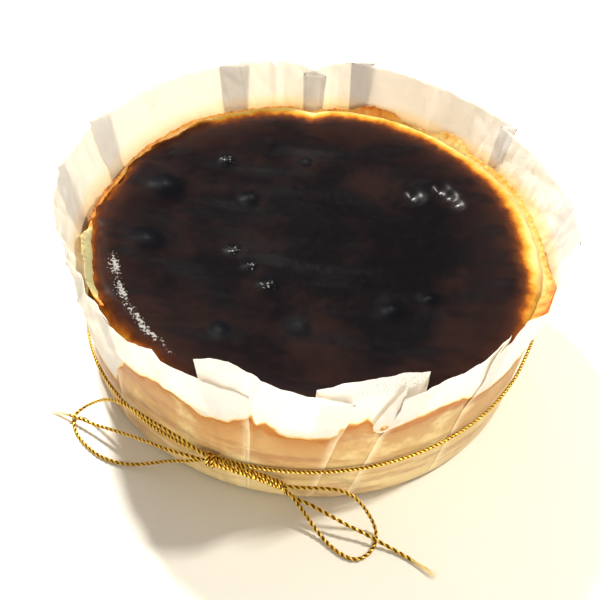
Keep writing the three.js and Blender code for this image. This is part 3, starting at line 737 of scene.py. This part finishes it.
# The folds in order round the sheet: azimuth at the rim and at the foot, radius and height at the rim,
# and how many layers out. The sheet turns back where its azimuths do.
FOLDS = [
    (-26, -26, 0.0643, 0.044, 0), (-14, -14, 0.0658, 0.046, 0),
    (12, 0, 0.0673, 0.046, 1.5), (-4, -9, 0.067, 0.0445, 0.5),
    (24, 22, 0.067, 0.0452, 0),
    (41, 36.5, 0.0663, 0.045, 0.5), (36, 34.5, 0.0668, 0.0474, 1.5),
    (53, 52, 0.0665, 0.0462, 0), (60.5, 61, 0.0668, 0.0468, 0), (62, 63, 0.0655, 0.0474, 0),
    (85, 81.5, 0.0666, 0.0464, 0.5), (79, 77.5, 0.0668, 0.0474, 1.5),
    (90.2, 90, 0.066, 0.0456, 1), (97.4, 96.5, 0.0638, 0.0428, 0.5), (91.2, 92.5, 0.0633, 0.0424, 1.5),
    (98.4, 98, 0.066, 0.0454, 0), (103.8, 103, 0.0666, 0.0464, 0), (105, 104.5, 0.0652, 0.045, 0),
    (106.2, 106, 0.0666, 0.0463, 0),
    (120, 119, 0.0663, 0.0464, 0.5), (112, 115, 0.0664, 0.0454, 1.5),
    (130, 130, 0.0665, 0.047, 0), (140, 142, 0.0666, 0.0474, 0), (141.2, 143, 0.0655, 0.0472, 0),
    (142.4, 144, 0.0667, 0.0474, 0), (150, 152, 0.0668, 0.0466, 0),
    (162, 163, 0.067, 0.049, 0.5), (154, 160, 0.067, 0.047, 1.5),
    (170, 172, 0.0673, 0.0476, 0),
    (184, 187, 0.0676, 0.048, 0.5), (175, 182, 0.0674, 0.048, 1.5),
    (192, 194, 0.0672, 0.0474, 0), (201, 202, 0.0654, 0.0462, 0), (211, 212, 0.0639, 0.0452, 0),
    (226, 225, 0.0642, 0.044, 0.5), (221, 223, 0.064, 0.0443, 1.5),
    (231.5, 231, 0.0646, 0.0428, 0.5), (237.5, 237, 0.064, 0.0446, 0.6), (239.2, 239, 0.0636, 0.0414, 0.6),
    (248, 248, 0.0618, 0.0404, 0.8), (259, 260.5, 0.0612, 0.0396, 1),
    (247, 259.9, 0.0606, 0.0386, 0.6), (245.5, 259.6, 0.0598, 0.0436, 0.5), (249, 260, 0.0593, 0.0455, 0.4),
    (253.5, 260.6, 0.0594, 0.0468, 0.3), (259, 261.8, 0.0604, 0.0463, 0), (265.5, 266, 0.062, 0.0446, 0.6),
    (273, 270, 0.0624, 0.0442, 1.2), (280.5, 275, 0.0626, 0.0424, 1.5),
    (273.8, 273.3, 0.0616, 0.0412, 0.7), (272.6, 273, 0.0604, 0.0444, 0.5),
    (278, 277, 0.0598, 0.0458, 0.4), (284, 281, 0.0594, 0.0465, 0.3),
    (291, 284, 0.0594, 0.0469, 0.4), (297.5, 287, 0.0596, 0.0451, 0.5), (296, 286.6, 0.0615, 0.0406, 0.8),
    (290.5, 283, 0.0626, 0.0424, 1.5),
    (297, 291, 0.0626, 0.044, 0.8), (304, 298, 0.0625, 0.045, 0.6),
    (319, 308, 0.0614, 0.0462, 0.5), (312, 305, 0.0626, 0.0456, 1.5),
    (326, 320, 0.0616, 0.0452, 0.6), (334, 334, 0.0643, 0.044, 0)]
SOAK_LINE = [(0, 0.029), (40, 0.0282), (80, 0.029), (120, 0.028), (160, 0.029), (188, 0.0285), (198, 0.022),
             (206, 0.015), (220, 0.015), (224, 0.024), (226, 0.0276), (231, 0.0284), (234.5, 0.03),
             (237.5, 0.0309),
             (241, 0.0306), (244.8, 0.0286), (248.6, 0.0264), (251, 0.0272), (254, 0.028), (257.4, 0.0306),
             (259.8, 0.033), (260.2, 0.0292), (262.5, 0.0316), (264, 0.0302), (266, 0.0279), (268, 0.0271),
             (272, 0.0273), (276.6, 0.0279), (277.9, 0.0296), (278.3, 0.033), (282, 0.0332), (284, 0.0346),
             (286, 0.0312), (288, 0.0303), (291, 0.031), (295, 0.0326), (300.8, 0.0344), (305.5, 0.0336),
             (311, 0.0306), (325, 0.0306), (340, 0.03), (360, 0.029)]  # azimuth, and how high the fat rose
# azimuth, and how strong a painted amber glow is on the free paper just above the crust
NEAR_CRUST = [(0, 0.9), (90, 0.8), (140, 0.5), (190, 0.5), (205, 0), (330, 0), (350, 0.9), (360, 0.9)]
NEAR_CRUST_HEIGHTS = (-0.001, 0.0026)  # above the crest: all of it, none of it
SPECKLED_TAB = (279, 298, 0.0405)  # from and to azimuth, lowest height
CREASE_WIDTH = 1.3  # degrees
RAGGED_WAVE = 0.0003  # how far the torn rim rises and falls
RAGGED_FIBRES = 0.00012


def crumple(co):
    """Outward displacement of the sheet: small creases where it clings and slow flutes above."""
    free_share = smooth_share(co.z, CLING_HEIGHT - 0.003, CLING_HEIGHT + 0.012)
    creased = 1 - abs(noise.noise(co * 95 + Vector((0, 0, co.z * 60)))) * 2
    diagonal = 1 - abs(noise.noise(Vector((co.x * 70 + co.z * 60, co.y * 70 + co.z * 40, 2)))) * 2
    folded = 1 - abs(noise.noise(Vector((co.x * 150, co.y * 150, co.z * 48 + 7)))) * 2
    small = noise.fractal(co * 260, 0.9, 2.1, 2)
    slow = noise.noise(co * 62 + Vector((3, 1, 0)))
    clinging = CREASES * (creased ** 3) + RIPPLES * small
    crinkled = FOLD_LINES * folded ** 3 + SLANT_LINES * max(diagonal, 0) ** 4 + FINE_LINES * small
    azimuth = math.degrees(math.atan2(co.y - AXIS.y, co.x - AXIS.x))
    width, more = LOOSE_CRINKLES
    crinkled *= 1 + more * nearby(azimuth, LOOSE_SIDE[0], width)
    return clinging + free_share * (FLUTES * slow + crinkled)


def sheet_place(fold, row):
    """A point of the sheet on a row between its floor and its rim, and the point's azimuth."""
    rim_azimuth, foot_azimuth, rim_radius, rim_height, layer = fold
    corner_top = CAKE_BOTTOM + CORNER_RADIUS
    corner = CORNER_RADIUS + PAPER_OUT
    if row == 0:
        return round_place(foot_azimuth, FLOOR_RADIUS - FLOOR_LAP, FLOOR_Z), foot_azimuth
    if row <= CORNER_ROWS:
        angle = math.radians(90 * (row - 1) / CORNER_ROWS)
        z = max(corner_top - corner * math.cos(angle), FLOOR_Z)
        radius = FOOT_RADIUS - CORNER_RADIUS + corner * math.sin(angle)
        return round_place(foot_azimuth, radius, z), foot_azimuth
    part = max(row - CORNER_ROWS - SIDE_ROWS, 0) / COLLAR_ROWS
    z = corner_top + (CLING_HEIGHT - corner_top) * min((row - CORNER_ROWS) / SIDE_ROWS, 1)
    z += (rim_height - CLING_HEIGHT) * part
    azimuth = foot_azimuth + (rim_azimuth - foot_azimuth) * z / rim_height
    cling_z = min(z, CLING_HEIGHT)
    radius = plain_side(cling_z) + PAPER_OUT + swell(azimuth, cling_z)
    radius += (rim_radius - radius) * part ** FLARE_EASE + COLLAR_BELLY * 4 * part * (1 - part)
    middle, width, size = LOOSE_SIDE
    standing_off = smooth_share(z, 0.011, 0.024) * (1 - smooth_share(z, 0.03, 0.044))
    radius += size * nearby(azimuth, middle, width) * standing_off
    apart = WET_LAYER_STEP + (LAYER_STEP - WET_LAYER_STEP) * smooth_share(z, 0.025, 0.036)
    radius += layer * apart * smooth_share(z, PLEATS_START, PLEATS_STAND)
    return round_place(azimuth, radius, z), azimuth


stations = []
turned = [(b[1] - a[1]) * (c[1] - b[1]) < 0 for a, b, c in zip(FOLDS, FOLDS[1:], FOLDS[2:])]
for fold, after, fold_back, after_back in zip(FOLDS, FOLDS[1:], [False, *turned], [*turned, False]):
    sweep = max(abs(after[0] - fold[0]), abs(after[1] - fold[1]))
    count = max(2, math.ceil(sweep / COLUMN))
    for i in range(count + (1 if after is FOLDS[-1] else 0)):
        share = i / count
        from_edge = min(share if fold_back else 9, 1 - share if after_back else 9) * sweep
        stations.append(([a + (b - a) * share for a, b in zip(fold, after)], from_edge))
rows = CORNER_ROWS + SIDE_ROWS + COLLAR_ROWS

sheet_bm = bmesh.new()
sheet_bm.loops.layers.uv.new("sheet")
bmesh.ops.create_grid(sheet_bm, x_segments=len(stations) - 1, y_segments=rows, size=0.5, calc_uvs=True)
soak = sheet_bm.verts.layers.float.new("soak")
crease = sheet_bm.verts.layers.float.new("crease")
yellowed = sheet_bm.verts.layers.float.new("yellowed")
flecked = sheet_bm.verts.layers.float.new("flecked")
for vertex in sheet_bm.verts:
    fold, from_edge = stations[round((vertex.co.x + 0.5) * (len(stations) - 1))]
    row = round((vertex.co.y + 0.5) * rows)
    ragged = list(fold)
    ragged[3] += RAGGED_WAVE * noise.noise(Vector((fold[0] * 0.35, 5, 0)))
    ragged[3] += RAGGED_FIBRES * noise.noise(Vector((fold[0] * 2.1, 0, 0)))
    co, azimuth = sheet_place(ragged, row)
    vertex[soak] = MILLIMETRES * (along(SOAK_LINE, azimuth) - co.z)
    vertex[crease] = math.exp(-(from_edge / CREASE_WIDTH) ** 2)
    close_to_crust = 1 - smooth_share(co.z - CREST_HEIGHT, *NEAR_CRUST_HEIGHTS)
    vertex[yellowed] = along(NEAR_CRUST, azimuth) * close_to_crust
    from_azimuth, to_azimuth, lowest = SPECKLED_TAB
    vertex[flecked] = smooth_share(azimuth, from_azimuth, from_azimuth + 5)
    vertex[flecked] *= smooth_share(co.z, lowest, lowest + 0.003)
    vertex[flecked] *= 1 - smooth_share(azimuth, to_azimuth, to_azimuth + 3)
    outward = Vector((co.x - AXIS.x, co.y - AXIS.y, 0)).normalized()
    vertex.co = co + outward * crumple(co) * smooth_share(co.z, PLEATS_START, PLEATS_STAND)
bmesh.ops.recalc_face_normals(sheet_bm, faces=sheet_bm.faces[:])
for edge in sheet_bm.edges:
    edge.smooth = not all(vertex[crease] > 0.999 for vertex in edge.verts)  # a fold is sharp
parchment_case = piece_from("parchment_case", sheet_bm)
thicken(parchment_case, SHEET_THICKNESS)

parchment, tree, output = new_finish("parchment")
place = add(tree, "TexCoord").outputs["Object"]
soak_at = mark(tree, "soak")
crease_at = mark(tree, "crease")
crust_glow_at = mark(tree, "yellowed")
fleck_at = mark(tree, "flecked")
shade_at = mark(tree, "shaded")
wander = mottle(tree, place, 230, 4, 0.6)
soaked = calc(tree, "ADD", soak_at, swing(tree, wander, 2.2))
share = calc(tree, "DIVIDE", calc(tree, "ADD", soaked, 6), 30)  # from 6 mm above the line to 24 below
stain = ramp(tree, share, [
    (0.02, tint(242, 240, 236)), (0.16, tint(242, 239, 228)), (0.19, tint(248, 228, 172)),
    (0.205, tint(236, 184, 104)), (0.23, tint(188, 128, 64)), (0.3, tint(192, 140, 80)),
    (0.42, tint(200, 154, 96)), (0.6, tint(208, 168, 110)), (0.8, tint(218, 187, 125)),
    (1, tint(226, 200, 142))])
wet = spread(tree, soaked, -0.4, 1)
# Pale cream blotches on the wet paper: uneven soaking, and also painted highlight for soft oily reflections.
blotch = mottle(tree, place, 85, 4, 0.6)
pale = times(tree, spread(tree, blotch, 0.5, 0.66), wet, 0.75)
stain = blended(tree, pale, stain, tint(234, 212, 152))
streak_place = add(tree, "Mapping", {"Vector": place, "Scale": (40, 40, 230)}).outputs[0]
streak = mottle(tree, streak_place, 1, 5, 0.65)
rosy = times(tree, spread(tree, streak, 0.48, 0.68), wet, 0.65)
stain = blended(tree, rosy, stain, tint(176, 120, 80))
uneven = mottle(tree, place, 110, 3)
line_width = calc(tree, "ADD", times(tree, spread(tree, uneven, 0.42, 0.62), 2.6), 0.5)
from_line = calc(tree, "ABSOLUTE", calc(tree, "SUBTRACT", soaked, times(tree, line_width, 0.7)))
on_line = calc(tree, "SUBTRACT", 1, calc(tree, "DIVIDE", from_line, line_width), use_clamp=True)
stain = blended(tree, times(tree, spread(tree, on_line, 0, 0.8), 0.85), stain, tint(184, 112, 42))
# Painted highlight: a pale line along each fold edge of the wet paper.
creased = times(tree, crease_at, wet, 0.6)
stain = blended(tree, creased, stain, tint(254, 240, 200))
# Painted glow: the free paper just above the crust is tinted amber, most at the back.
stain = blended(tree, times(tree, crust_glow_at, 0.5), stain, tint(255, 224, 140))
cells = add(tree, "Mapping", {"Vector": place, "Scale": (130, 130, 45), "Rotation": (0.5, 0.4, 0)}).outputs[0]
from_crinkle = add(tree, "TexVoronoi", {"Vector": cells, "Scale": 1.4},
                   feature="DISTANCE_TO_EDGE").outputs["Distance"]
fleck = mottle(tree, place, 3000, 2)
fleck = times(tree, spread(tree, fleck, 0.5, 0.62), fleck_at, 0.5)
stain = blended(tree, fleck, stain, tint(150, 142, 124))
stain = blended(tree, times(tree, shade_at, 0.4), stain, tint(206, 194, 176), "MULTIPLY")
grain = mottle(tree, place, 1500, 3)
faceted = times(tree, calc(tree, "MINIMUM", from_crinkle, 0.25), 8)
tooth = add(tree, "Bump", {"Height": calc(tree, "ADD", grain, faceted), "Strength": 0.5,
                           "Distance": 0.0002}).outputs["Normal"]
front = add(tree, "BsdfDiffuse", {"Color": stain, "Normal": tooth})
passed = blended(tree, 1, stain, (0.94, 0.87, 0.77, 1), "MULTIPLY")
back = add(tree, "BsdfTranslucent", {"Color": passed})
dry = add(tree, "MixShader", {0: 0.47, 1: front.outputs[0], 2: back.outputs[0]})
fatty = add(tree, "BsdfPrincipled", {"Base Color": stain, "Roughness": 0.34, "Normal": tooth,
                                     "Specular IOR Level": 0.5})
soaked_through = add(tree, "MixShader", {0: 0.25, 1: fatty.outputs[0], 2: back.outputs[0]})
sheet_shader = add(tree, "MixShader", {0: wet, 1: dry.outputs[0], 2: soaked_through.outputs[0]})
tree.links.new(sheet_shader.outputs[0], output.inputs["Surface"])
finished(parchment_case, parchment, "parchment", "paper_case")

# One pleat stands out at the front as a narrow cone of the same sheet. It is closed at the bottom, where
# a drop of fat has dried in a ring.
EAR_FOOT = (286.8, 0.0628, 0.0312)  # azimuth, radius, height
EAR_TIP = (291, 0.0617, 0.0449)
EAR_WIDTHS = [(0, 0), (0.04, 0.0014), (0.1, 0.0024), (0.2, 0.003), (0.35, 0.0028), (0.57, 0.002),
              (0.8, 0.001), (1, 0.0001)]  # share of the way up, and half its width
EAR_BULGE = 0.048  # how far its middle stands out, as a share of half its width
EAR_SHADE = 0.5
DRIED_DROP = (0.14, 0.0006)  # how far up the ear, and its radius
DROP_RING = 0.00045  # half the width of the ring round the drop
ear_bm = bmesh.new()
ear_bm.loops.layers.uv.new("ear")
bmesh.ops.create_grid(ear_bm, x_segments=24, y_segments=70, size=0.5, calc_uvs=True)
ear_soak = ear_bm.verts.layers.float.new("soak")
ear_shade = ear_bm.verts.layers.float.new("shaded")
for vertex in ear_bm.verts:
    aside, up = vertex.co.x * 2, vertex.co.y + 0.5
    azimuth, radius, z = (low + (high - low) * up for low, high in zip(EAR_FOOT, EAR_TIP))
    half = along(EAR_WIDTHS, up)
    radius += LAYER_STEP * 2 + EAR_BULGE * (1 - aside * aside) * half
    vertex.co = round_place(azimuth + math.degrees(aside * half / radius), radius, z)
    drop_up, drop_radius = DRIED_DROP
    from_drop = math.hypot(aside * half, (up - drop_up) * (EAR_TIP[2] - EAR_FOOT[2]))
    ring = math.exp(-((from_drop - drop_radius) / DROP_RING) ** 2)
    vertex[ear_soak] = -6 + 4.9 * (1 - smooth_share(up, 0.1, 0.45)) + 1.7 * ring
    vertex[ear_shade] = EAR_SHADE
bmesh.ops.recalc_face_normals(ear_bm, faces=ear_bm.faces[:])
pleat_ear = piece_from("pleat_ear", ear_bm)
thicken(pleat_ear, SHEET_THICKNESS)
finished(pleat_ear, parchment, "parchment", "paper_case")

# The sheet's middle lies flat under the cake, soaked all through.
FLOOR_SOAK = 20  # millimetres below the line, as the side's foot is
floor_bm = bmesh.new()
bmesh.ops.create_cone(floor_bm, cap_ends=True, segments=120, radius1=FLOOR_RADIUS, radius2=FLOOR_RADIUS,
                      depth=SHEET_THICKNESS)
bmesh.ops.translate(floor_bm, verts=floor_bm.verts[:],
                    vec=AXIS + Vector((FOOT_SHIFT, 0, SHEET_THICKNESS / 2)))
floor_soak = floor_bm.verts.layers.float.new("soak")
for vertex in floor_bm.verts:
    vertex[floor_soak] = FLOOR_SOAK
parchment_floor = piece_from("parchment_floor", floor_bm, smooth=False)
finished(parchment_floor, parchment, "parchment", "paper_case")


# ---- Table and light
# A plain white table in a bright, warm room. Two windows stand behind, left and right, and shine
# through the collar: their shadows cross only at the left front. A weak light and a white card in front
# stand for what the room throws back, and light the cake without its shadow on the table.
TABLE_SIZE = 3
table_bm = bmesh.new()
bmesh.ops.create_grid(table_bm, x_segments=1, y_segments=1, size=TABLE_SIZE)
table_top = piece_from("table_top", table_bm, smooth=False)
paint, tree, output = new_finish("white_table")
shader = add(tree, "BsdfPrincipled", {"Base Color": tint(248, 245, 238), "Roughness": 0.6})
tree.links.new(shader.outputs[0], output.inputs["Surface"])
table_top.data.materials.append(paint)

LIGHT_AIM = 0.03  # height that the lights face
world = bpy.data.worlds.new("bright_room")
world.use_nodes = True
daylight = world.node_tree.nodes["Background"]
daylight.inputs["Color"].default_value = (1, 0.965, 0.87, 1)
daylight.inputs["Strength"].default_value = 0.46
bpy.context.scene.world = world


def softbox(name, azimuth, elevation, size, power, color, distance=0.9, lit=()):
    """A square area light that faces the cake. It lights the pieces in lit alone, if there are any."""
    lamp = bpy.data.lights.new(name, "AREA")
    lamp.size = size
    lamp.energy = power
    lamp.color = color
    box = bpy.data.objects.new(name, lamp)
    bpy.context.scene.collection.objects.link(box)
    a, e = math.radians(azimuth), math.radians(elevation)
    way = Vector((math.cos(a) * math.cos(e), math.sin(a) * math.cos(e), math.sin(e)))
    turned = way.to_track_quat("Z", "Y").to_matrix().to_4x4()
    box.matrix_world = Matrix.Translation(Vector((0, 0, LIGHT_AIM)) + way * distance) @ turned
    if lit:
        box.light_linking.receiver_collection = bpy.data.collections.new("lit_by_" + name)
        for piece in lit:
            box.light_linking.receiver_collection.objects.link(piece)
    return box


softbox("window_left", 121, 46, 0.1, 18, (1, 0.98, 0.93))
softbox("window_right", 18, 50, 0.08, 6.3, (1, 0.98, 0.86))
softbox("fill", 285, 10, 0.2, 1.25, (1, 0.98, 0.95), 0.45,
        lit=(cheesecake, batter_film, parchment_case, pleat_ear, string_band))
card = softbox("card", 262, 35, 0.06, 0.031, (1, 0.97, 0.88), 0.13, lit=(parchment_case, pleat_ear))
card.visible_camera = False
card.visible_glossy = False
softbox("sparkle", 92, 42, 0.06, 4, (1, 0.98, 0.95)).visible_diffuse = False

bpy.context.scene.view_settings.view_transform = "Standard"
